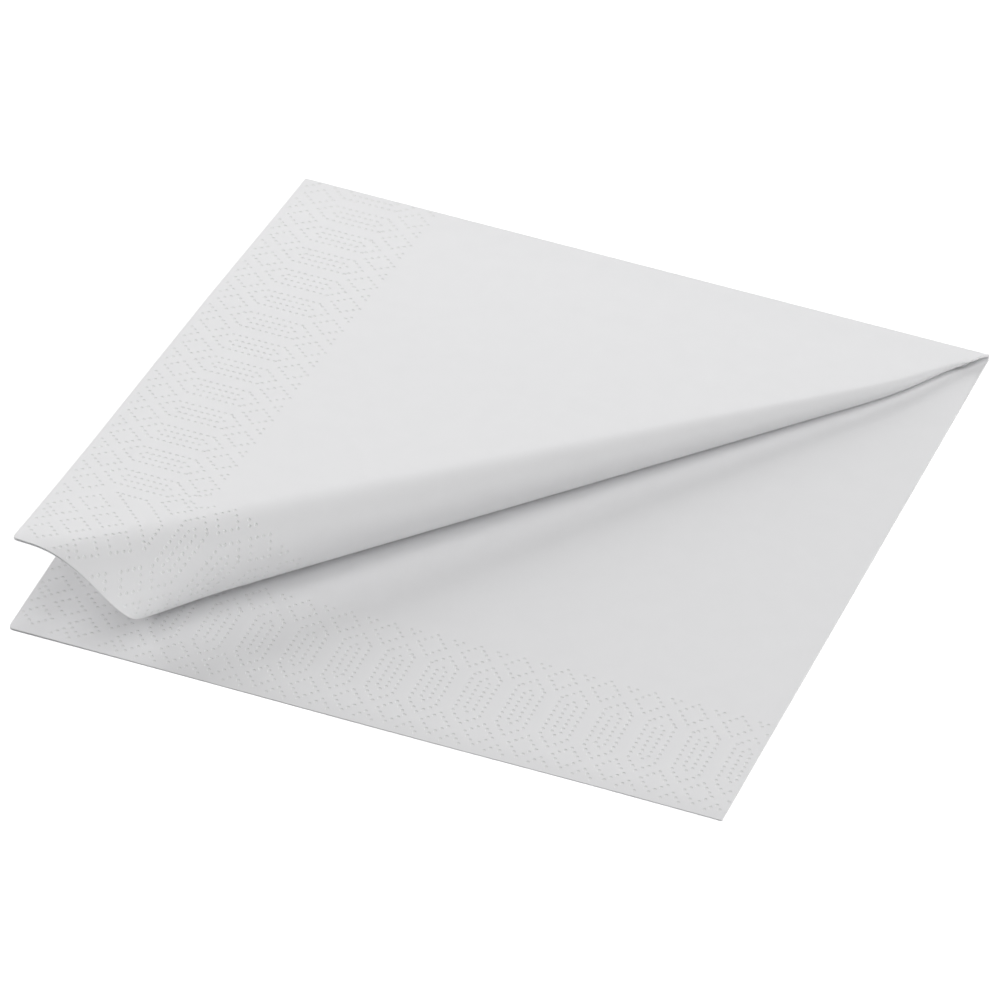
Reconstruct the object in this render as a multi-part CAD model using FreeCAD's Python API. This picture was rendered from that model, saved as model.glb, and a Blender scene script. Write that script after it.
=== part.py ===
import FreeCAD, Part
import os
from math import asin, atan, atan2, cos, degrees, pi, radians, sin, tan

# Folded three-ply tissue napkin, quarter fold, lying flat with its upper flap lifted.
# Millimetres. X runs left to right and Y front to back, with +Z up. The origin is the
# centre of the napkin's square footprint, on the surface that it rests on.
#
# The sheet is folded twice, so four leaves lie on each other, and each leaf is made of
# three plies. Leaves one and two form the flap, leaves three and four form the base.
# The last fold is the crease along the back edge, and the flap turns about it. The
# flap's right-hand half is rolled under along a diagonal that ends at the back right
# corner, so its front right corner lies tucked between the flap and the base.

# ---- Driving dimensions -----------------------------------------------------------
side = 165.0            # folded side: a quarter of a 330 mm square sheet
ply_thickness = 0.05    # one embossed tissue ply
ply_pitch = 0.10        # ply and the air beside it
plies = 3               # plies in a leaf
flap_tilt = 7.8         # degrees between the flap's flat half and the base
apex_behind = 8.4       # how far the roll's apex lies behind the back edge
apex_beside = 12.0      # how far the roll's apex lies beyond the right edge
roll_start = 45.2       # degrees from the back edge at which the roll begins
tuck_gap = 0.15         # air between the base and the tucked part of the flap
crease_clearance = 0.2  # the leaves stop this far short of the crease's axis
corner_radius = 1.2     # rounding of the base's free corner
ray_steps = 12          # sections used along the roll

# ---- Derived dimensions -----------------------------------------------------------
half = side / 2.0
leaf_pitch = plies * ply_pitch
base_top = 2.0 * leaf_pitch - (ply_pitch - ply_thickness)
tuck_z = base_top + tuck_gap
tilt = radians(flap_tilt)
back_cut = apex_behind + crease_clearance

# The roll is a circular cone that touches the flap's tilted plane above and the tucked
# part's level plane below. Both planes pass through the line along X through its apex.
apex = FreeCAD.Vector(half + apex_beside, half + apex_behind, tuck_z)

# Rays of the flat sheet are named by their angle from the back edge at the apex. The
# flap's free corner lies at corner_angle, on the flat half, just before the roll.
tangent_angle = radians(roll_start)
corner_angle = atan2(side + apex_behind, side + apex_beside)
axis_angle = atan(tan(tangent_angle) / cos(tilt / 2.0))
half_cone = asin(sin(axis_angle) * sin(tilt / 2.0))
roll_angle = pi * sin(half_cone)   # part of the flat sheet that goes round the cone
end_angle = tangent_angle + roll_angle

axis_dir = FreeCAD.Vector(
    -cos(axis_angle),
    -sin(axis_angle) * cos(tilt / 2.0),
    sin(axis_angle) * sin(tilt / 2.0),
)
top_normal = FreeCAD.Vector(0.0, sin(tilt), cos(tilt))


def turned(vector, axis, angle):
    """The vector turned about an axis through the origin, in radians."""
    return FreeCAD.Rotation(axis, degrees(angle)).multVec(vector)


def top_ray(angle):
    """Direction of a ray of the flat upper half, from the apex."""
    return FreeCAD.Vector(-cos(angle), -sin(angle) * cos(tilt), sin(angle) * sin(tilt))


def ray(angle):
    """Unit direction and inward normal of the rolled sheet at a flat-sheet angle."""
    if angle <= tangent_angle:
        return top_ray(angle), top_normal * -1.0
    if angle >= end_angle:
        level = tangent_angle - (angle - end_angle)
        return FreeCAD.Vector(-cos(level), -sin(level), 0.0), FreeCAD.Vector(0, 0, 1)
    turn = (tangent_angle - angle) / sin(half_cone)
    direction = turned(top_ray(tangent_angle), axis_dir, turn)
    inward = turned(top_normal * -1.0, axis_dir, turn)
    return direction, inward


def placed(reach, angle, depth):
    """Point of the rolled sheet: distance from the apex, flat angle and depth inside."""
    direction, inward = ray(angle)
    return apex + direction * reach + inward * depth


def near_reach(angle):
    """Distance from the apex to the sheet's back edge or its right edge."""
    return max(back_cut / sin(angle), apex_beside / cos(angle))


def far_reach(angle):
    """Distance from the apex to the sheet's left edge or its front edge."""
    return min((side + apex_beside) / cos(angle), (side + apex_behind) / sin(angle))


def oriented(solid):
    """The same solid with its faces pointing outwards."""
    if solid.Volume < 0:
        solid.reverse()
    return solid


def slab(corners, depth_out, depth_in):
    """Flat part of a ply: corners are pairs of reach and flat angle, in order."""
    outer = [placed(reach, angle, depth_out) for reach, angle in corners]
    inner = [placed(reach, angle, depth_in) for reach, angle in corners]
    faces = [
        Part.Face(Part.makePolygon(outer + outer[:1])),
        Part.Face(Part.makePolygon(inner + inner[:1])),
    ]
    for i in range(len(corners)):
        j = (i + 1) % len(corners)
        ring = [outer[i], outer[j], inner[j], inner[i], outer[i]]
        faces.append(Part.Face(Part.makePolygon(ring)))
    return oriented(Part.makeSolid(Part.makeShell(faces)))


def roll(depth_out, depth_in):
    """The part of a ply that goes round the cone, as one ruled loft."""
    sections = []
    for i in range(ray_steps + 1):
        angle = tangent_angle + roll_angle * i / ray_steps
        near = near_reach(angle)
        far = far_reach(angle)
        ring = [
            placed(near, angle, depth_out),
            placed(far, angle, depth_out),
            placed(far, angle, depth_in),
            placed(near, angle, depth_in),
        ]
        sections.append(Part.makePolygon(ring + ring[:1]))
    return oriented(Part.makeLoft(sections, True, False))


def flap_ply(index):
    """One ply of the flap, counted from its outer face, as a single closed solid."""
    depth_out = index * ply_pitch
    depth_in = depth_out + ply_thickness
    back_left = atan2(back_cut, side + apex_beside)
    back_right = atan2(back_cut, apex_beside)
    tip = atan2(side + apex_behind, apex_beside)
    flat = [
        (far_reach(back_left), back_left),
        (far_reach(corner_angle), corner_angle),
        (far_reach(tangent_angle), tangent_angle),
        (near_reach(tangent_angle), tangent_angle),
        (near_reach(back_right), back_right),
    ]
    tuck = [
        (near_reach(end_angle), end_angle),
        (far_reach(end_angle), end_angle),
        (far_reach(tip), tip),
    ]
    upper = slab(flat, depth_out, depth_in).fuse(roll(depth_out, depth_in))
    return upper.fuse(slab(tuck, depth_out, depth_in))


def base_ply(level):
    """One ply of a base leaf, counted up from the resting surface."""
    corner = FreeCAD.Vector(-half, -half, level * ply_pitch)
    sheet = Part.makeBox(side, side - crease_clearance, ply_thickness, corner)
    free_corner = [
        edge for edge in sheet.Edges
        if edge.BoundBox.ZLength > 0.5 * ply_thickness
        and edge.BoundBox.XMax < 0
        and edge.BoundBox.YMax < 0
    ]
    return sheet.makeFillet(corner_radius, free_corner)


# ---- Plies, from the top of the napkin to the bottom --------------------------------
# Each leaf's three plies keep their names through the folds, so the face ply is the
# outer one on the flap's top, on its underside, on the base's top and on its underside.
names = ["face", "core", "back"]
nodes = {}
for depth in range(2 * plies):
    leaf = "top_leaf" if depth < plies else "second_leaf"
    layer = names[min(depth, 2 * plies - 1 - depth)]
    nodes[leaf + "_" + layer + "_ply"] = flap_ply(depth)
for level in range(2 * plies):
    leaf = "bottom_leaf" if level < plies else "third_leaf"
    layer = names[min(level, 2 * plies - 1 - level)]
    nodes[leaf + "_" + layer + "_ply"] = base_ply(level)

os.makedirs("parts", exist_ok=True)
for name, shape in nodes.items():
    solid = shape.Solids[0]
    solid.exportStep("parts/" + name + ".step")
    print(name, len(shape.Solids), solid.isValid(), round(solid.Volume, 1), solid.BoundBox)
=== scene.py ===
"""Folded three-ply tissue napkin: its plies, folds, embossing and paper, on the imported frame."""
from math import asin, atan, cos, pi, radians, sin, tan

import bpy
import numpy as np
from mathutils import Matrix, Vector
from mathutils.geometry import delaunay_2d_cdt


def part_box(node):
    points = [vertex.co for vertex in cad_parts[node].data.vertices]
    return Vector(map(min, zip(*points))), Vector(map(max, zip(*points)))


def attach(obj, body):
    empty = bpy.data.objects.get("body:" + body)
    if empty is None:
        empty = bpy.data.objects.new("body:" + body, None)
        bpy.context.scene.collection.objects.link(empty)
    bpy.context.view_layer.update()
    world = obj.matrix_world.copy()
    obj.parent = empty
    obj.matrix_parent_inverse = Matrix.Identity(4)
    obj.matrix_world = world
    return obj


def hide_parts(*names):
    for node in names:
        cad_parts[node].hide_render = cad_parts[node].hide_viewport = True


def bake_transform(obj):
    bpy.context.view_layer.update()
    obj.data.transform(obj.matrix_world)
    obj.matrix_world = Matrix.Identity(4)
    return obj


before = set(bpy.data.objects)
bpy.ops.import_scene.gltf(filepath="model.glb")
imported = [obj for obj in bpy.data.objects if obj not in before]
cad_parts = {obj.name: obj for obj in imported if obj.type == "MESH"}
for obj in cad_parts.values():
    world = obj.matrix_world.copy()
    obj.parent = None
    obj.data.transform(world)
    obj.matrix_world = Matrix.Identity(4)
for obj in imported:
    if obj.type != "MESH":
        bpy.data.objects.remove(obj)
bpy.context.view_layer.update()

bl_info = {
    "name": "Folded tissue napkin",
    "version": (1, 0, 0),
    "blender": (4, 5, 0),
    "location": "3D View > Sidebar > Napkin",
    "description": "A tissue napkin with a dot-embossed border, folded in four, its flap lifted",
    "category": "Object",
}

MM = 0.001

# ---- The folded shape, in metres, as the frame has it -------------------------------------
PLIES = 6                             # in a pair of leaves, three plies each
BASE_LOW, BASE_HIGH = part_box("bottom_leaf_face_ply")
THIRD_LOW, THIRD_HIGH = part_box("third_leaf_face_ply")
SIDE = BASE_HIGH.x - BASE_LOW.x       # folded side
HALF = SIDE / 2
LEAF_END = BASE_HIGH.y - BASE_LOW.y   # the leaves stop just short of the crease's axis
BASE_TOP = THIRD_HIGH.z
PLY = BASE_HIGH.z - BASE_LOW.z        # one ply's thickness
PITCH = (THIRD_LOW.z - BASE_LOW.z) / (PLIES - 1)  # from one ply to the next
STACK = (PLIES - 1) * PITCH + PLY     # a pair of leaves
TUCK_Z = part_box("top_leaf_face_ply")[0].z  # underside of the tucked part of the flap

# ---- The flap's tilt and the cone of its roll ---------------------------------------------
TILT = radians(7.8)          # between the flap's flat half and the base
APEX_BEHIND = 8.4 * MM       # the roll's apex, behind the back edge
APEX_BESIDE = 12.0 * MM      # and beyond the right edge
ROLL_START = radians(45.2)   # angle from the back edge at which the roll begins
AXIS_ANGLE = atan(tan(ROLL_START) / cos(TILT / 2))
HALF_CONE = asin(sin(AXIS_ANGLE) * sin(TILT / 2))
ROLL_END = ROLL_START + pi * sin(HALF_CONE)
APEX = np.array([HALF + APEX_BESIDE, HALF + APEX_BEHIND, TUCK_Z])
AXIS = np.array([
    -cos(AXIS_ANGLE),
    -sin(AXIS_ANGLE) * cos(TILT / 2),
    sin(AXIS_ANGLE) * sin(TILT / 2),
])
TOP_NORMAL = np.array([0.0, sin(TILT), cos(TILT)])

# ---- Where soft paper leaves the plain cone; pairs are where an effect sets in or fades ---
NOSE_STRETCH = 0.010             # how much longer the roll is than the flat paper
STRETCH_SETS_IN = -0.012, 0.07   # radians past the roll's start
STRETCH_FADES = 0.05, 0.35       # radians past the roll's end
NOSE_OPEN = 1.6 * MM             # how far the roll's front end stands out beyond its cone
NOSE_WAY = np.array([0.38, -0.92, 0])
NOSE_REACH = 16 * MM             # from the front edge
OPEN_SETS_IN = 0.04, 0.10
OPEN_FADES = 0.02, 0.20
LEAN = 4.2 * MM                  # how far the flap's right edge leans in beside the crease
LEAN_WIDTH = 30 * MM             # from the right edge
LEAN_GROWS = 4 * MM              # away from the crease
LEAN_FADES = 6 * MM, 30 * MM
LONG_WAVE = 52 * MM, 71 * MM     # of the flap's ripple, along u and v
SHORT_WAVE = 23 * MM, 31 * MM
CURL_REACH = 55 * MM             # of the flap's free corner
CREASE_RELIEF = 0.75 * MM        # how much less the flap is pressed at the crease's right end
PRESS_REACH = 60 * MM            # from the crease
LIFT_BAND = 30 * MM              # along the base's free edges
BASE_WAVE = 19 * MM, 23 * MM
FRONT_LONGER = 0.0067            # the base's front edge against its back edge
FRONT_LEFT, FRONT_SLANT = -0.6 * MM, 1.4 * MM  # how far that edge is out of square
CUT_BAND, CUT_PINCH = 5 * MM, 0.5              # plies pressed together at the cut edges
CREASE_BAND, CREASE_PINCH = 30 * MM, 0.4       # and at the crease
PARTING_REACH = 60 * MM          # how far from the free corner two leaves part
TRIM_BAND = 6 * MM               # along the cut edges, where the plies are out of line

# ---- The embossed border and the mesh, in millimetres -------------------------------------
BORDER_END = 33.5                # from the cut edge to where the border's fine mesh ends
DIAMOND_ACROSS, DIAMOND_ALONG = 3.43, 3.12     # half sizes
# Straight rows of a hexagon: first dot, spacing, number, distance from the hexagon's middle.
HEXAGON_ROWS = ((11.24, 1.546, 9, 3.05), (12.84, 1.49, 7, 1.01))
HEXAGON_SLANTS = ((24.52, 2.24), (25.67, 1.11), (10.0, 2.24), (8.94, 1.11))
HEXAGON_TIPS = (26.81, 7.71, 11.68, 23.05)
# Dots where the two borders meet on their inner side.
INNER_CORNER = [
    (31.7, 35.8), (30.9, 35.0), (29.9, 34.2), (28.9, 33.8), (27.9, 33.0), (28.9, 31.3),
    (29.9, 30.8), (31.0, 29.5), (32.0, 30.1), (33.2, 30.7), (34.3, 31.8),
]
CORNER_FOLLOWS = 0.2, 0.6        # share of the front and left shift that the corner block takes
CUT_MARGIN, SIDE_MARGIN, CREASE_MARGIN = 0.7, 0.5, 0.4  # no dot is nearer to these edges
DOT_GAP = 0.95                   # nor to another dot
PIT = ((1.0, 0.0), (0.55, 1.0))  # rings of a dot: share of its radius, how far it is pressed
DOT_CLEAR, BORDER_CLEAR, BEND_CLEAR = 0.55, 0.62, 0.5   # from a dot to the mesh's other points
ROW_SHARE = 0.866                # height of a lattice row against its spacing
PLAIN_BEND = 2.4                 # spacing along the roll on plies without dots
OUTLINE_CLEAR = 0.15, 0.3        # from the roll's points to the side fold and the crease
BEND_MARGIN = 0.004              # radians from the lattice's points to the roll
SAME_POINT, NO_AREA = 1e-6, 1e-7  # below these, two points or a triangle's corners are one

# Plies of a leaf pair from the top down, and how far each one's cut edges stand back, in mm.
LAYERS = ("face", "core", "back", "back", "core", "face")
TRIMS = (0.06, 0.16, 0.10, 0.24, 0.14, 0.02)

# ---- The stage ----------------------------------------------------------------------------
VIEW = Vector((-0.28283, 0.69926, -0.65654)).normalized()
VIEW_MIDDLE = Vector((0, -0.0197 * SIDE, BASE_TOP))
VIEW_ROLL = radians(-0.19)
SENSOR = 36                      # width in millimetres
FLOOR_REACH = 6.0
FLOOR_DROP = 0.05 * MM           # keeps the floor just clear of the lowest ply
# Name, azimuth (0 is in front, 90 to the right) and elevation in degrees, distance and side in
# metres, and power in watts.
SOFTBOXES = (
    ("rear_right_softbox", 135, 25, 3.0, 1.9, 34.0),
    ("rear_left_softbox", 225, 25, 1.5, 0.95, 12.0),
    ("front_softbox", 45, 50, 1.5, 0.95, 5.1),
    ("top_softbox", 0, 88, 1.5, 0.90, 4.5),
)


# ---- Settings -----------------------------------------------------------------------------
def linear(hex_colour):
    """Linear RGB of an sRGB colour written as hex."""
    parts = [int(hex_colour[i:i + 2], 16) / 255 for i in (1, 3, 5)]
    return tuple(c / 12.92 if c <= 0.04045 else ((c + 0.055) / 1.055) ** 2.4 for c in parts)


class NapkinEmboss(bpy.types.PropertyGroup):
    """Sizes of the embossed border."""
    dot_radius: bpy.props.FloatProperty(
        name="Dot radius", description="Radius of one embossed dot at the surface",
        default=0.48 * MM, unit="LENGTH", precision=5)
    dot_depth: bpy.props.FloatProperty(
        name="Dot depth", description="How deep the embossing pins press the tissue",
        default=0.17 * MM, unit="LENGTH", precision=5)
    repeat: bpy.props.FloatProperty(
        name="Repeat", description="Length of one repeat of the border along the edge",
        default=10.08 * MM, unit="LENGTH", precision=5)
    first_hexagon: bpy.props.FloatProperty(
        name="First hexagon", description="From the napkin's corner to the first hexagon's middle",
        default=34.06 * MM, unit="LENGTH", precision=5)
    flap_shift: bpy.props.FloatProperty(
        name="Flap shift", description="Shift of the flap's left border, away from the corner",
        default=-1.0 * MM, unit="LENGTH", precision=5)
    front_shift: bpy.props.FloatProperty(
        name="Front shift", description="Shift of the base's front border, away from the corner",
        default=-2.6 * MM, unit="LENGTH", precision=5)


class NapkinPaper(bpy.types.PropertyGroup):
    """Colours and small irregularities of the tissue."""
    face_colour: bpy.props.FloatVectorProperty(
        name="Face", description="Colour of the outer plies", subtype="COLOR", size=3,
        default=linear("#F7F7F8"), min=0, max=1)
    core_colour: bpy.props.FloatVectorProperty(
        name="Core", description="Colour of the middle plies", subtype="COLOR", size=3,
        default=linear("#F3F3F3"), min=0, max=1)
    back_colour: bpy.props.FloatVectorProperty(
        name="Back", description="Colour of the inner plies", subtype="COLOR", size=3,
        default=linear("#F1F2F3"), min=0, max=1)
    ripple: bpy.props.FloatProperty(
        name="Ripple", description="Height of the slow waves in the lifted flap",
        default=0.22 * MM, unit="LENGTH", precision=5)
    corner_rise: bpy.props.FloatProperty(
        name="Corner rise", description="How far the flap's free corner curls up",
        default=1.0 * MM, unit="LENGTH", precision=5)
    crease_press: bpy.props.FloatProperty(
        name="Crease press",
        description="How far the flap is pressed down at the left end of its crease",
        default=0.88 * MM, unit="LENGTH", precision=5)
    edge_lift: bpy.props.FloatProperty(
        name="Edge lift", description="How far the base's free edges stand off the table",
        default=0.12 * MM, unit="LENGTH", precision=5)
    splay: bpy.props.FloatProperty(
        name="Splay", description="How far two leaves part at their free corner",
        default=0.30 * MM, unit="LENGTH", precision=5)


class NapkinStage(bpy.types.PropertyGroup):
    """Floor, room light and camera."""
    floor_colour: bpy.props.FloatVectorProperty(
        name="Floor", description="Colour of the floor", subtype="COLOR", size=3,
        default=linear("#FFFFFF"), min=0, max=1)
    floor_glow: bpy.props.FloatProperty(
        name="Floor glow", description="Light that the translucent white floor gives off itself",
        default=0.48)
    room_light: bpy.props.FloatProperty(
        name="Room light", description="Strength of the even light of the room", default=0.09)
    lens: bpy.props.FloatProperty(
        name="Lens", description="Focal length of the long lens, in millimetres", default=474.4)
    distance: bpy.props.FloatProperty(
        name="Distance", description="From the camera to the napkin",
        default=2.897, unit="LENGTH")


# ---- From the flat sheet to the folded one ------------------------------------------------
def turned(vector, angles):
    """The vector turned about the roll's axis by each of the angles."""
    c, s = np.cos(angles)[:, None], np.sin(angles)[:, None]
    return vector * c + np.cross(AXIS, vector) * s + AXIS * (AXIS @ vector) * (1 - c)


def eased(value, start, end):
    """Zero before start, one after end, and a smooth step between."""
    step = np.clip((value - start) / (end - start), 0, 1)
    return step * step * (3 - 2 * step)


def near(distance, reach):
    """One at no distance, falling evenly to zero at the reach."""
    return np.clip(1 - distance / reach, 0, 1)


def flap_point(u, v, depth):
    """Points of the flap: u from the left edge, v from the front edge, depth below the top face."""
    beside, behind = SIDE + APEX_BESIDE - u, SIDE + APEX_BEHIND - v
    reach, angle = np.hypot(beside, behind), np.arctan2(behind, beside)
    # Soft paper gives a little along the roll, so its nose stands out in front.
    reach = reach * (1 + NOSE_STRETCH * eased(angle - ROLL_START, *STRETCH_SETS_IN)
                     * (1 - eased(angle - ROLL_END, *STRETCH_FADES)))
    flat = np.minimum(angle, ROLL_START)
    direction = np.stack(
        [-np.cos(flat), -np.sin(flat) * cos(TILT), np.sin(flat) * sin(TILT)], 1)
    inward = np.tile(-TOP_NORMAL, (len(u), 1))
    start = np.array(
        [-cos(ROLL_START), -sin(ROLL_START) * cos(TILT), sin(ROLL_START) * sin(TILT)])
    on_roll = angle > ROLL_START
    turn = (ROLL_START - np.minimum(angle, ROLL_END)[on_roll]) / sin(HALF_CONE)
    direction[on_roll] = turned(start, turn)
    inward[on_roll] = turned(-TOP_NORMAL, turn)
    tucked = angle > ROLL_END
    level = ROLL_START - (angle[tucked] - ROLL_END)
    direction[tucked] = np.stack([-np.cos(level), -np.sin(level), np.zeros(len(level))], 1)
    inward[tucked] = (0, 0, 1)
    points = APEX + reach[:, None] * direction + depth[:, None] * inward
    # The roll's nose opens a little towards the front.
    open_nose = (NOSE_OPEN * near(v, NOSE_REACH) ** 1.5
                 * eased(angle - ROLL_START, *OPEN_SETS_IN)
                 * (1 - eased(angle - ROLL_END, *OPEN_FADES)))
    points += open_nose[:, None] * NOSE_WAY
    # Beside the crease's right end the edge already leans in before it goes under the roll.
    away = SIDE - v
    points[:, 0] -= (LEAN * near(SIDE - u, LEAN_WIDTH) ** 2
                     * (1 - np.exp(-away / LEAN_GROWS)) * (1 - eased(away, *LEAN_FADES)))
    return points


def flap_ripple(u, v):
    """Slow waves of the lifted half, none along the crease and none where the flap is tucked."""
    paper = bpy.context.scene.napkin_paper
    free = np.clip((SIDE - v) / SIDE, 0, 1) ** 1.5
    beside, behind = SIDE + APEX_BESIDE - u, SIDE + APEX_BEHIND - v
    open_half = np.clip((ROLL_END - np.arctan2(behind, beside)) / (ROLL_END - ROLL_START), 0, 1)
    wave = (np.sin(u / LONG_WAVE[0] + v / LONG_WAVE[1])
            + 0.5 * np.sin(u / SHORT_WAVE[0] - v / SHORT_WAVE[1] + 1.3))
    rise = paper.corner_rise * near(np.hypot(u, v), CURL_REACH) ** 2
    drop = ((paper.crease_press - CREASE_RELIEF * u / SIDE)
            * (1 - eased(SIDE - v, 0, PRESS_REACH)) * open_half)
    return paper.ripple * free * open_half * wave + rise - drop


def base_point(u, v, depth):
    """Points of the base: u from the left edge, v from the front edge, depth below its top face."""
    paper = bpy.context.scene.napkin_paper
    edge = np.maximum(near(u, LIFT_BAND), near(v, LIFT_BAND)) ** 2
    wave = 1 + 0.6 * np.sin(u / BASE_WAVE[0]) * np.cos(v / BASE_WAVE[1])
    held = np.clip((SIDE - u) / LIFT_BAND, 0, 1) * np.clip((SIDE - v) / LIFT_BAND, 0, 1)
    lift = paper.edge_lift * edge * wave * held
    # The front edge is a little out of square, as folded sheets are.
    front = 1 - v / SIDE
    x = (u - HALF) * (1 + FRONT_LONGER * front)
    y = v - HALF + (FRONT_SLANT * u / SIDE + FRONT_LEFT) * front
    return np.stack([x, y, BASE_TOP - depth + lift], 1)


def pinched(u, v, depth):
    """Depth in a leaf pair whose plies are pressed together at the free edges and the crease."""
    cut = np.maximum(near(u, CUT_BAND), near(v, CUT_BAND)) ** 1.5
    crease = 1 - eased(SIDE - v, 0, CREASE_BAND)
    return STACK - (STACK - depth) * (1 - np.maximum(CUT_PINCH * cut, CREASE_PINCH * crease))


def corner_weight(u, v):
    """One at the free front left corner, falling to nothing where the leaves lie together."""
    return near(np.hypot(u, v), PARTING_REACH) ** 2


# ---- The embossed pattern, in millimetres from the corner of the sheet --------------------
def diamond(across, along):
    """Twelve dots on the outline of a diamond."""
    corners = [(DIAMOND_ACROSS, 0), (0, DIAMOND_ALONG), (-DIAMOND_ACROSS, 0), (0, -DIAMOND_ALONG)]
    dots = []
    for (a, b), (c, d) in zip(corners, corners[1:] + corners[:1]):
        dots += [(across + a + (c - a) * k / 3, along + b + (d - b) * k / 3) for k in range(3)]
    return dots


def hexagon(along):
    """A long hexagon across the border with two short rows of dots inside it."""
    dots = []
    for side in (-1, 1):
        for first, spacing, number, off in HEXAGON_ROWS:
            dots += [(first + spacing * k, along + side * off) for k in range(number)]
        dots += [(across, along + side * off) for across, off in HEXAGON_SLANTS]
    return dots + [(across, along) for across in HEXAGON_TIPS]


def edge_marks(along):
    """The open half diamond at the cut edge."""
    dots = [(3.89, along)]
    for side in (-1, 1):
        dots += [(2.75 - 1.145 * k, along + side * (1.04 + 1.04 * k)) for k in range(3)]
    return dots


def inner_marks(along):
    """The small arrow head that closes the border on its inner side."""
    return [(30.94, along), (32.08, along + 0.99), (32.08, along - 0.99)]


def dotted(start, end, spacing=1.5):
    """Dots at an even spacing from one point to another."""
    length = np.hypot(end[0] - start[0], end[1] - start[1])
    count = max(1, round(length / spacing))
    return [tuple(np.array(start) + (np.array(end) - np.array(start)) * k / count)
            for k in range(count + 1)]


def corner_block():
    """Diamonds in a lattice, and the mitred figure that joins the two borders."""
    dots = []
    for i, j in ((0, 0), (0, 2), (1, 1), (2, 0), (2, 2), (1, 3), (3, 1)):
        dots += diamond(4.9 + 5.48 * i, 5.9 + 5.2 * j)
    for along in (12.0, 23.2):
        dots += edge_marks(along) + [(a, b) for b, a in edge_marks(along)]
    low, mid, high = 13.4, 20.2, 27.2
    figure = [(low, high), (mid, high), (high, mid), (high, low), (low, high)]
    for start, end in zip(figure, figure[1:]):
        dots += dotted(start, end)
    return dots + diamond(27.1, 28.0) + INNER_CORNER


def dot_places(left_shift, front_shift):
    """Middles of all dots of one leaf, (u, v) in millimetres; the shifts move the borders."""
    emboss = bpy.context.scene.napkin_emboss
    side, repeat, first = SIDE / MM, emboss.repeat / MM, emboss.first_hexagon / MM
    dots = [(a + min(front_shift, 0) * CORNER_FOLLOWS[0], b + left_shift * CORNER_FOLLOWS[1])
            for a, b in corner_block()]
    for shift, swap in ((left_shift, False), (front_shift, True)):
        run = []
        for k in range(int((side - first - shift) / repeat) + 2):
            along = first + shift + k * repeat
            run += hexagon(along) + edge_marks(along) + diamond(5.82, along - repeat / 2)
            if k:  # beside the corner, the corner's own figures take their place
                run += inner_marks(along) + diamond(28.97, along - repeat / 2)
        dots += [(b, a) for a, b in run] if swap else run
    dots = np.array(dots)
    inside = ((dots.min(1) > CUT_MARGIN) & (dots[:, 0] < side - SIDE_MARGIN)
              & (dots[:, 1] < LEAF_END / MM - CREASE_MARGIN))
    kept = []
    for dot in dots[inside]:
        if not kept or np.hypot(*(np.array(kept) - dot).T).min() > DOT_GAP:
            kept.append(dot)
    return np.array(kept)


# ---- Meshes of the flat leaf --------------------------------------------------------------
def outline(spacing, radius=1.2, steps=6):
    """Points round the leaf's edge, with its free corner rounded, in millimetres."""
    side, end = SIDE / MM, LEAF_END / MM
    points = []
    for k in range(steps + 1):
        angle = pi / 2 * k / steps
        points.append((radius - radius * cos(angle), radius - radius * sin(angle)))
    along = np.linspace(radius, side, int(side / spacing))[1:]
    up = np.linspace(radius, end, int(end / spacing))[1:]
    points += [(x, 0) for x in along] + [(0, y) for y in up]
    points += [(side, y) for y in up] + [(x, end) for x in along[:-1]]
    return np.array(points)


def roll_points(spacing, rays=17):
    """Points on rays of the roll, so that the paper bends evenly, in millimetres."""
    side, end = SIDE / MM, LEAF_END / MM
    points = []
    for angle in np.linspace(ROLL_START, ROLL_END, rays):
        first = APEX_BESIDE / MM / cos(angle)
        last = (side + APEX_BEHIND / MM) / sin(angle)
        for reach in np.linspace(first, last, int((last - first) / spacing))[1:-1]:
            points.append((side + APEX_BESIDE / MM - reach * cos(angle),
                           side + APEX_BEHIND / MM - reach * sin(angle)))
    points = np.array(points)
    inside = (points[:, 1] < end - OUTLINE_CLEAR[1]) & (points[:, 0] < side - OUTLINE_CLEAR[0])
    return points[inside]


def clear_of(points, others, distance, batch=400):
    """The points that are farther than a distance from all of the others."""
    if not len(others):
        return points
    keep = np.ones(len(points), bool)
    for start in range(0, len(points), batch):
        gaps = points[start:start + batch, None] - others[None]
        keep[start:start + batch] = np.hypot(gaps[..., 0], gaps[..., 1]).min(1) > distance
    return points[keep]


def lattice(spacing, margin):
    """Staggered filling points of the whole leaf, in millimetres."""
    side, end = SIDE / MM, LEAF_END / MM
    rows = np.arange(margin, end - margin, spacing * ROW_SHARE)
    points = []
    for k, y in enumerate(rows):
        for x in np.arange(margin + (k % 2) * spacing / 2, side - margin, spacing):
            points.append((x, y))
    return np.array(points)


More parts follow.
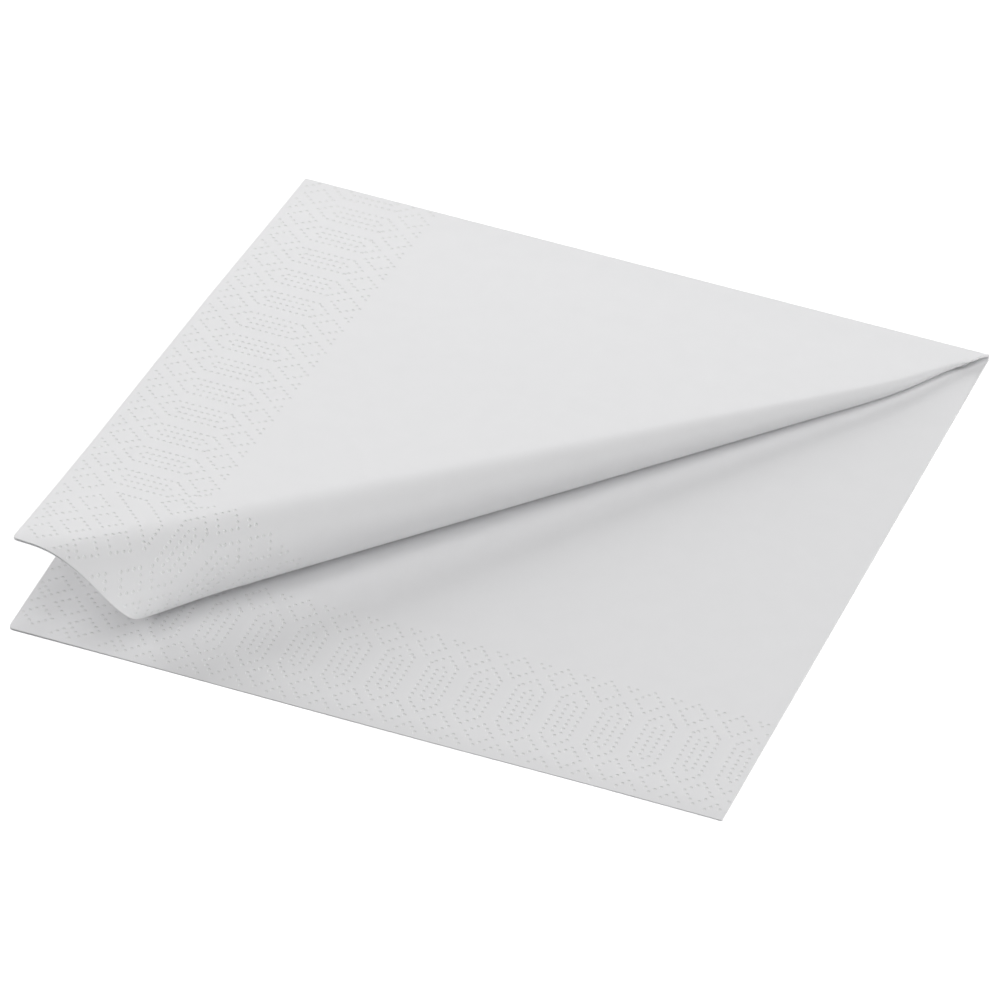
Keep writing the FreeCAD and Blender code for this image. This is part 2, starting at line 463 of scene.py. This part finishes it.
def leaf_mesh(dots, rolled, fine=1.5, coarse=3.0):
    """Flat triangles of a leaf: points, triangles, and how far each point is pressed, 0 to 1.

    fine and coarse are spacings in millimetres, in the border and on the plain paper."""
    emboss = bpy.context.scene.napkin_emboss
    radius = emboss.dot_radius / MM
    rings, press = [], []
    for share, pressed in PIT:
        for k in range(6 if len(dots) else 0):
            turn = pi / 3 * (k + (0.5 if pressed else 0))
            rings.append(dots + radius * share * np.array([cos(turn), sin(turn)]))
            press.append(np.full(len(dots), pressed))
    edge = outline(fine)
    spread = clear_of(lattice(coarse, 1.2), dots, DOT_CLEAR)
    if len(dots):
        border = lattice(fine, 0.9)
        border = border[border.min(1) < BORDER_END]
        inner = spread[spread.min(1) >= BORDER_END + 0.6]
        spread = np.concatenate([clear_of(border, dots, BORDER_CLEAR), inner])
    if rolled:
        angle = np.arctan2(SIDE / MM + APEX_BEHIND / MM - spread[:, 1],
                           SIDE / MM + APEX_BESIDE / MM - spread[:, 0])
        off_roll = (angle < ROLL_START - BEND_MARGIN) | (angle > ROLL_END + BEND_MARGIN)
        bend = clear_of(roll_points(fine if len(dots) else PLAIN_BEND), dots, BEND_CLEAR)
        spread = np.concatenate([spread[off_roll], bend])
    points = np.concatenate([edge, spread] + rings)
    pressed = np.concatenate([np.zeros(len(edge) + len(spread))] + press)
    found = delaunay_2d_cdt([Vector(p) for p in points.tolist()], [], [], 0, SAME_POINT)
    flat = np.array([tuple(p) for p in found[0]])
    faces = np.array([f for f in found[2] if len(f) == 3])
    pressed = pressed[[owners[0] if owners else 0 for owners in found[3]]]
    a, b, c = (flat[faces[:, k]] for k in range(3))
    ab, ac = b - a, c - a
    area = ab[:, 0] * ac[:, 1] - ab[:, 1] * ac[:, 0]
    faces[area < 0] = faces[area < 0][:, ::-1]
    return flat[:, :2] * MM, faces[np.abs(area) > NO_AREA], pressed


def rim_of(faces):
    """Edges that only one triangle uses, in that triangle's direction."""
    edges = np.concatenate([faces[:, [0, 1]], faces[:, [1, 2]], faces[:, [2, 0]]])
    used = {}
    for a, b in edges.tolist():
        key = (a, b) if a < b else (b, a)
        used[key] = None if key in used else (a, b)
    return np.array([pair for pair in used.values() if pair])


def new_piece(name, points, faces, sheet_uv, material):
    """A mesh with smooth paper faces, sharp cut edges and a map of the sheet in metres."""
    mesh = bpy.data.meshes.new(name)
    mesh.from_pydata(points.tolist(), [], faces)
    mesh.shade_smooth()
    mesh.set_sharp_from_angle(angle=radians(25))
    layer = mesh.uv_layers.new(name="sheet")
    corners = np.zeros(len(mesh.loops), int)
    mesh.loops.foreach_get("vertex_index", corners)
    layer.data.foreach_set("uv", sheet_uv[corners].ravel())
    mesh.materials.append(material)
    mesh.update()
    piece = bpy.data.objects.new(name, mesh)
    bpy.context.scene.collection.objects.link(piece)
    return piece


def ply_piece(name, flat_leaf, place, shape, level, emboss_way, material, trim):
    """One ply of a leaf as a closed thin sheet.

    level counts plies down from the leaf pair's top, emboss_way is 1 where the dots go down
    into the stack, -1 where they go up into it and 0 on a ply with none, and trim is how far
    the ply's cut edges stand back, in millimetres."""
    emboss = bpy.context.scene.napkin_emboss
    points, faces, pressed = flat_leaf
    u, v = points.T
    # Real cuts leave the plies a little out of line, by an amount that drifts along the edge.
    u = u + trim * MM * near(u, TRIM_BAND) * (1 + 0.5 * np.sin(v / (17 * MM) + level))
    v = v + trim * MM * near(v, TRIM_BAND) * (1 + 0.5 * np.sin(u / (21 * MM) - level))
    dent = emboss.dot_depth * pressed * emboss_way
    outer = place(u, v, pinched(u, v, level * PITCH) + dent) + shape(u, v, level)
    inner = place(u, v, pinched(u, v, level * PITCH + PLY) + dent) + shape(u, v, level)
    rim = rim_of(faces)
    count = len(points)
    walls = np.stack([rim[:, 1], rim[:, 0], rim[:, 0] + count, rim[:, 1] + count], 1)
    all_faces = faces.tolist() + (faces[:, ::-1] + count).tolist() + walls.tolist()
    both = np.concatenate([outer, inner])
    return new_piece(name, both, all_faces, np.concatenate([points, points]), material)


def flap_shape(u, v, level):
    """Shift of a flap ply: the flap's ripple, and its lower leaf parting at the free corner."""
    paper = bpy.context.scene.napkin_paper
    part = paper.splay * corner_weight(u, v) * (level >= 3)
    return (flap_ripple(u, v) - part)[:, None] * TOP_NORMAL


def base_shape(u, v, level):
    """Shift of a base ply: the upper leaf parts from the lower one at the free corner."""
    paper = bpy.context.scene.napkin_paper
    part = paper.splay * corner_weight(u, v) * (level < 3)
    return part[:, None] * np.array([0, 0, 1.0])


# ---- Folds --------------------------------------------------------------------------------
def strip_piece(name, sections, material):
    """Thin closed strips: each is a list of (outer line, inner line) along the fold's length."""
    points, faces, uv = [], [], []
    for outer, inner in sections:
        first = sum(len(p) for p in points)
        rows, cols = outer.shape[:2]
        grid = np.arange(rows * cols).reshape(rows, cols) + first
        far = grid + rows * cols
        points += [outer.reshape(-1, 3), inner.reshape(-1, 3)]
        a, b, c, d = grid[:-1, :-1], grid[1:, :-1], grid[1:, 1:], grid[:-1, 1:]
        skin = np.stack([a, b, c, d], -1).reshape(-1, 4)
        back = np.stack([d, c, b, a], -1).reshape(-1, 4) + rows * cols
        faces += skin.tolist() + back.tolist()
        for line, under in ((grid[0], far[0]), (grid[-1][::-1], far[-1][::-1]),
                            (grid[::-1, 0], far[::-1, 0]), (grid[:, -1], far[:, -1])):
            wall = np.stack([line[:-1], line[1:], under[1:], under[:-1]], 1)
            faces += wall.tolist()
        across, along = np.meshgrid(np.linspace(0, 0.003, cols), np.linspace(0, SIDE, rows))
        uv += [np.stack([across.ravel(), along.ravel()], 1)] * 2
    return new_piece(name, np.concatenate(points), faces, np.concatenate(uv), material)


def rear_fold(name, level, material, steps=14, rows=96):
    """One ply's bend at the back edge, from its base leaf round the crease to its flap leaf."""
    u, v = np.linspace(0, SIDE, rows), np.full(rows, LEAF_END)
    turn = np.linspace(0, pi, steps)
    lines = []
    for depth in (level * PITCH + PLY, level * PITCH):
        low = base_point(u, v, pinched(u, v, np.full(rows, depth))) + base_shape(u, v, level)
        high = (flap_point(u, v, pinched(u, v, np.full(rows, STACK - depth)))
                + flap_shape(u, v, PLIES - 1 - level))
        middle, half = (high + low) / 2, (high - low) / 2
        bulge = np.sin(turn)[None, :, None] * (SIDE - LEAF_END + half[:, 2])[:, None, None]
        line = middle[:, None] - half[:, None] * np.cos(turn)[None, :, None]
        lines.append(line + bulge * np.array([0, 1.0, 0]))
    # The outer side of the bend is the side away from the crease's axis.
    return strip_piece(name, [(lines[0][:, ::-1], lines[1][:, ::-1])], material)


def side_fold(name, place, shape, material, steps=11, rows=96):
    """The three nested bends at a leaf pair's right edge, as one piece of three strips."""
    middle = STACK / 2
    v = np.linspace(0, LEAF_END, rows)
    sections = []
    for ply in range(3):
        lines = []
        for depth in (0.0, PLY):
            radius = middle - ply * PITCH - depth
            turn = np.linspace(0, pi, steps)
            uu, vv = np.meshgrid(SIDE + radius * np.sin(turn), v)
            down = np.tile(middle - radius * np.cos(turn), rows)
            spot = place(uu.ravel(), vv.ravel(), down)
            spot = spot + shape(np.full(uu.size, SIDE), vv.ravel(), 0)
            lines.append(spot.reshape(rows, steps, 3))
        sections.append((lines[0][:, ::-1], lines[1][:, ::-1]))
    return strip_piece(name, sections, material)


# ---- Paper --------------------------------------------------------------------------------
def add_node(material, kind, settings=None, links=None):
    """A node with its settings; links maps its input names to other nodes' outputs."""
    tree = material.node_tree
    node = tree.nodes.new(kind)
    for key, value in (settings or {}).items():
        if key in node.inputs:
            node.inputs[key].default_value = value
        else:
            setattr(node, key, value)
    for key, source in (links or {}).items():
        tree.links.new(source, node.inputs[key])
    return node


def creped_tissue(name, colour, bump):
    """Creped tissue paper, bleached pulp: matt and soft, with fine cross ridges from the creping
    blade, and cloudy where the fibres lie thicker. Loose fibres on top catch light at the rim."""
    material = bpy.data.materials.new(name)
    material.use_nodes = True
    material.node_tree.nodes.clear()
    place = add_node(material, "ShaderNodeTexCoord")
    # Fibre clouds are 4 to 8 mm across.
    clouds = add_node(material, "ShaderNodeTexNoise",
                      {"Scale": 1 / (6 * MM), "Detail": 4.0, "Roughness": 0.55},
                      {"Vector": place.outputs["UV"]})
    tone = add_node(material, "ShaderNodeValToRGB", links={"Fac": clouds.outputs["Fac"]})
    low, high = tone.color_ramp.elements
    low.position, high.position = 0.25, 0.75
    low.color = tuple(c * 0.985 for c in colour) + (1,)
    high.color = tuple(colour) + (1,)
    # Crepe ridges are 0.7 mm apart and about 3 mm long; the felted fibres are 0.3 mm apart.
    stretched = add_node(material, "ShaderNodeMapping", {"Scale": (1.0, 0.22, 1.0)},
                         {"Vector": place.outputs["UV"]})
    crepe = add_node(material, "ShaderNodeTexNoise",
                     {"Scale": 1 / (0.7 * MM), "Detail": 3.0, "Roughness": 0.6},
                     {"Vector": stretched.outputs["Vector"]})
    fibres = add_node(material, "ShaderNodeTexNoise",
                      {"Scale": 1 / (0.3 * MM), "Detail": 2.0, "Roughness": 0.7},
                      {"Vector": place.outputs["UV"]})
    felt = add_node(material, "ShaderNodeMix", {"data_type": "FLOAT", "Factor": 0.4},
                    {"A": crepe.outputs["Fac"], "B": fibres.outputs["Fac"]})
    relief = add_node(material, "ShaderNodeBump", {"Strength": bump, "Distance": 0.05 * MM},
                      {"Height": felt.outputs["Result"]})
    skin = add_node(material, "ShaderNodeBsdfPrincipled",
                    {"Roughness": 0.92, "IOR": 1.47, "Specular IOR Level": 0.25,
                     "Sheen Weight": 0.10, "Sheen Roughness": 0.6},
                    {"Base Color": tone.outputs["Color"], "Normal": relief.outputs["Normal"]})
    add_node(material, "ShaderNodeOutputMaterial", links={"Surface": skin.outputs["BSDF"]})
    return material


def paper_of(layer):
    """The tissue of the face, core or back plies, made once."""
    name = "creped_tissue_" + layer
    paper = bpy.context.scene.napkin_paper
    found = bpy.data.materials.get(name)
    return found or creped_tissue(name, tuple(getattr(paper, layer + "_colour")), 0.35)


# ---- Building a leaf pair -----------------------------------------------------------------
def leaf_pair(body, upper, lower, place, shape, rolled, shifts):
    """The six plies of two leaves and the bends at their right edge.

    place and shape say where a point of the flat leaf goes, and shifts are those of the
    left and front border in millimetres."""
    dotted_leaf = leaf_mesh(dot_places(*shifts), rolled)
    plain_leaf = leaf_mesh(np.zeros((0, 2)), rolled)
    fold = side_fold(body + "_side_fold", place, shape, paper_of("face"))
    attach(fold, body)
    for level, layer in enumerate(LAYERS):
        leaf = upper if level < 3 else lower
        node = leaf + "_" + layer + "_ply"
        outside = layer == "face"
        way = (1 if level == 0 else -1) if outside else 0
        piece = ply_piece(node + "_tissue", dotted_leaf if outside else plain_leaf,
                          place, shape, level, way, paper_of(layer), TRIMS[level])
        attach(piece, body)
        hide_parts(node)


class NAPKIN_OT_flap(bpy.types.Operator):
    """Builds the flap: the upper two leaves, tilted, with one corner rolled under"""
    bl_idname = "napkin.flap"
    bl_label = "Flap"

    def execute(self, context):
        shifts = (context.scene.napkin_emboss.flap_shift / MM, 0)
        leaf_pair("flap", "top_leaf", "second_leaf", flap_point, flap_shape, True, shifts)
        return {"FINISHED"}


class NAPKIN_OT_base(bpy.types.Operator):
    """Builds the base: the lower two leaves, flat on the table"""
    bl_idname = "napkin.base"
    bl_label = "Base"

    def execute(self, context):
        shifts = (0, context.scene.napkin_emboss.front_shift / MM)
        leaf_pair("base", "third_leaf", "bottom_leaf", base_point, base_shape, False, shifts)
        return {"FINISHED"}


class NAPKIN_OT_rear_folds(bpy.types.Operator):
    """Builds the six nested bends of the crease along the back edge"""
    bl_idname = "napkin.rear_folds"
    bl_label = "Rear folds"

    def execute(self, context):
        leaves = ("third", "third", "third", "bottom", "bottom", "bottom")
        for level, layer in enumerate(LAYERS):
            name = leaves[level] + "_leaf_" + layer + "_rear_fold"
            piece = rear_fold(name, level, paper_of(layer))
            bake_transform(piece)
        return {"FINISHED"}


class NAPKIN_OT_stage(bpy.types.Operator):
    """Builds the floor, the soft light and the camera"""
    bl_idname = "napkin.stage"
    bl_label = "Stage"

    def execute(self, context):
        scene = context.scene
        stage = scene.napkin_stage
        white = bpy.data.materials.new("white_sweep")
        white.use_nodes = True
        skin = white.node_tree.nodes["Principled BSDF"]
        skin.inputs["Base Color"].default_value = (*stage.floor_colour, 1)
        skin.inputs["Roughness"].default_value = 0.9
        skin.inputs["Emission Color"].default_value = (*stage.floor_colour, 1)
        skin.inputs["Emission Strength"].default_value = stage.floor_glow
        mesh = bpy.data.meshes.new("floor")
        corners = [(x * FLOOR_REACH, y * FLOOR_REACH, 0)
                   for x, y in ((-1, -1), (1, -1), (1, 1), (-1, 1))]
        mesh.from_pydata(corners, [], [(0, 1, 2, 3)])
        mesh.materials.append(white)
        floor = bpy.data.objects.new("floor", mesh)
        floor.location.z = -FLOOR_DROP
        scene.collection.objects.link(floor)

        world = bpy.data.worlds.new("soft_room")
        world.use_nodes = True
        room = world.node_tree.nodes["Background"]
        room.inputs["Color"].default_value = (1, 1, 1, 1)
        room.inputs["Strength"].default_value = stage.room_light
        scene.world = world

        # Two low softboxes behind the napkin, which rake over the embossing, a weak one in
        # front, and one overhead, which lights the base but not the roll's underside.
        for name, azimuth, elevation, distance, side, power in SOFTBOXES:
            light = bpy.data.lights.new(name, "AREA")
            light.shape, light.size, light.energy = "SQUARE", side, power
            lamp = bpy.data.objects.new(name, light)
            turn, rise = radians(azimuth), radians(elevation)
            spot = Vector((sin(turn) * cos(rise), -cos(turn) * cos(rise), sin(rise)))
            lamp.location = spot * distance
            lamp.rotation_euler = (-spot).to_track_quat("-Z", "Y").to_euler()
            scene.collection.objects.link(lamp)

        lens = bpy.data.cameras.new("camera")
        lens.lens, lens.sensor_width, lens.clip_end = stage.lens, SENSOR, 50
        camera = bpy.data.objects.new("camera", lens)
        camera.location = VIEW_MIDDLE - VIEW * stage.distance
        upright = VIEW.to_track_quat("-Z", "Y").to_matrix().to_4x4()
        camera.rotation_euler = (Matrix.Rotation(VIEW_ROLL, 4, VIEW) @ upright).to_euler()
        scene.collection.objects.link(camera)
        scene.camera = camera
        scene.view_settings.view_transform = "Standard"
        return {"FINISHED"}


class NAPKIN_PT_panel(bpy.types.Panel):
    """Lists the napkin's settings and its building steps"""
    bl_idname = "NAPKIN_PT_panel"
    bl_label = "Napkin"
    bl_space_type = "VIEW_3D"
    bl_region_type = "UI"
    bl_category = "Napkin"

    def draw(self, context):
        for group in SETTINGS:
            box = self.layout.box()
            settings = getattr(context.scene, group)
            for name in settings.__annotations__:
                box.prop(settings, name)
        for step in STEPS:
            self.layout.operator(step.bl_idname)


SETTINGS = {
    "napkin_emboss": NapkinEmboss,
    "napkin_paper": NapkinPaper,
    "napkin_stage": NapkinStage,
}
STEPS = (NAPKIN_OT_flap, NAPKIN_OT_base, NAPKIN_OT_rear_folds, NAPKIN_OT_stage)


def register():
    for cls in (*SETTINGS.values(), *STEPS, NAPKIN_PT_panel):
        bpy.utils.register_class(cls)
    for name, cls in SETTINGS.items():
        setattr(bpy.types.Scene, name, bpy.props.PointerProperty(type=cls))


def unregister():
    for name in SETTINGS:
        delattr(bpy.types.Scene, name)
    for cls in (NAPKIN_PT_panel, *reversed(STEPS), *reversed(SETTINGS.values())):
        bpy.utils.unregister_class(cls)


def main():
    register()
    for step in STEPS:
        getattr(bpy.ops.napkin, step.bl_idname.split(".")[1])()


if __name__ == "__main__":
    main()
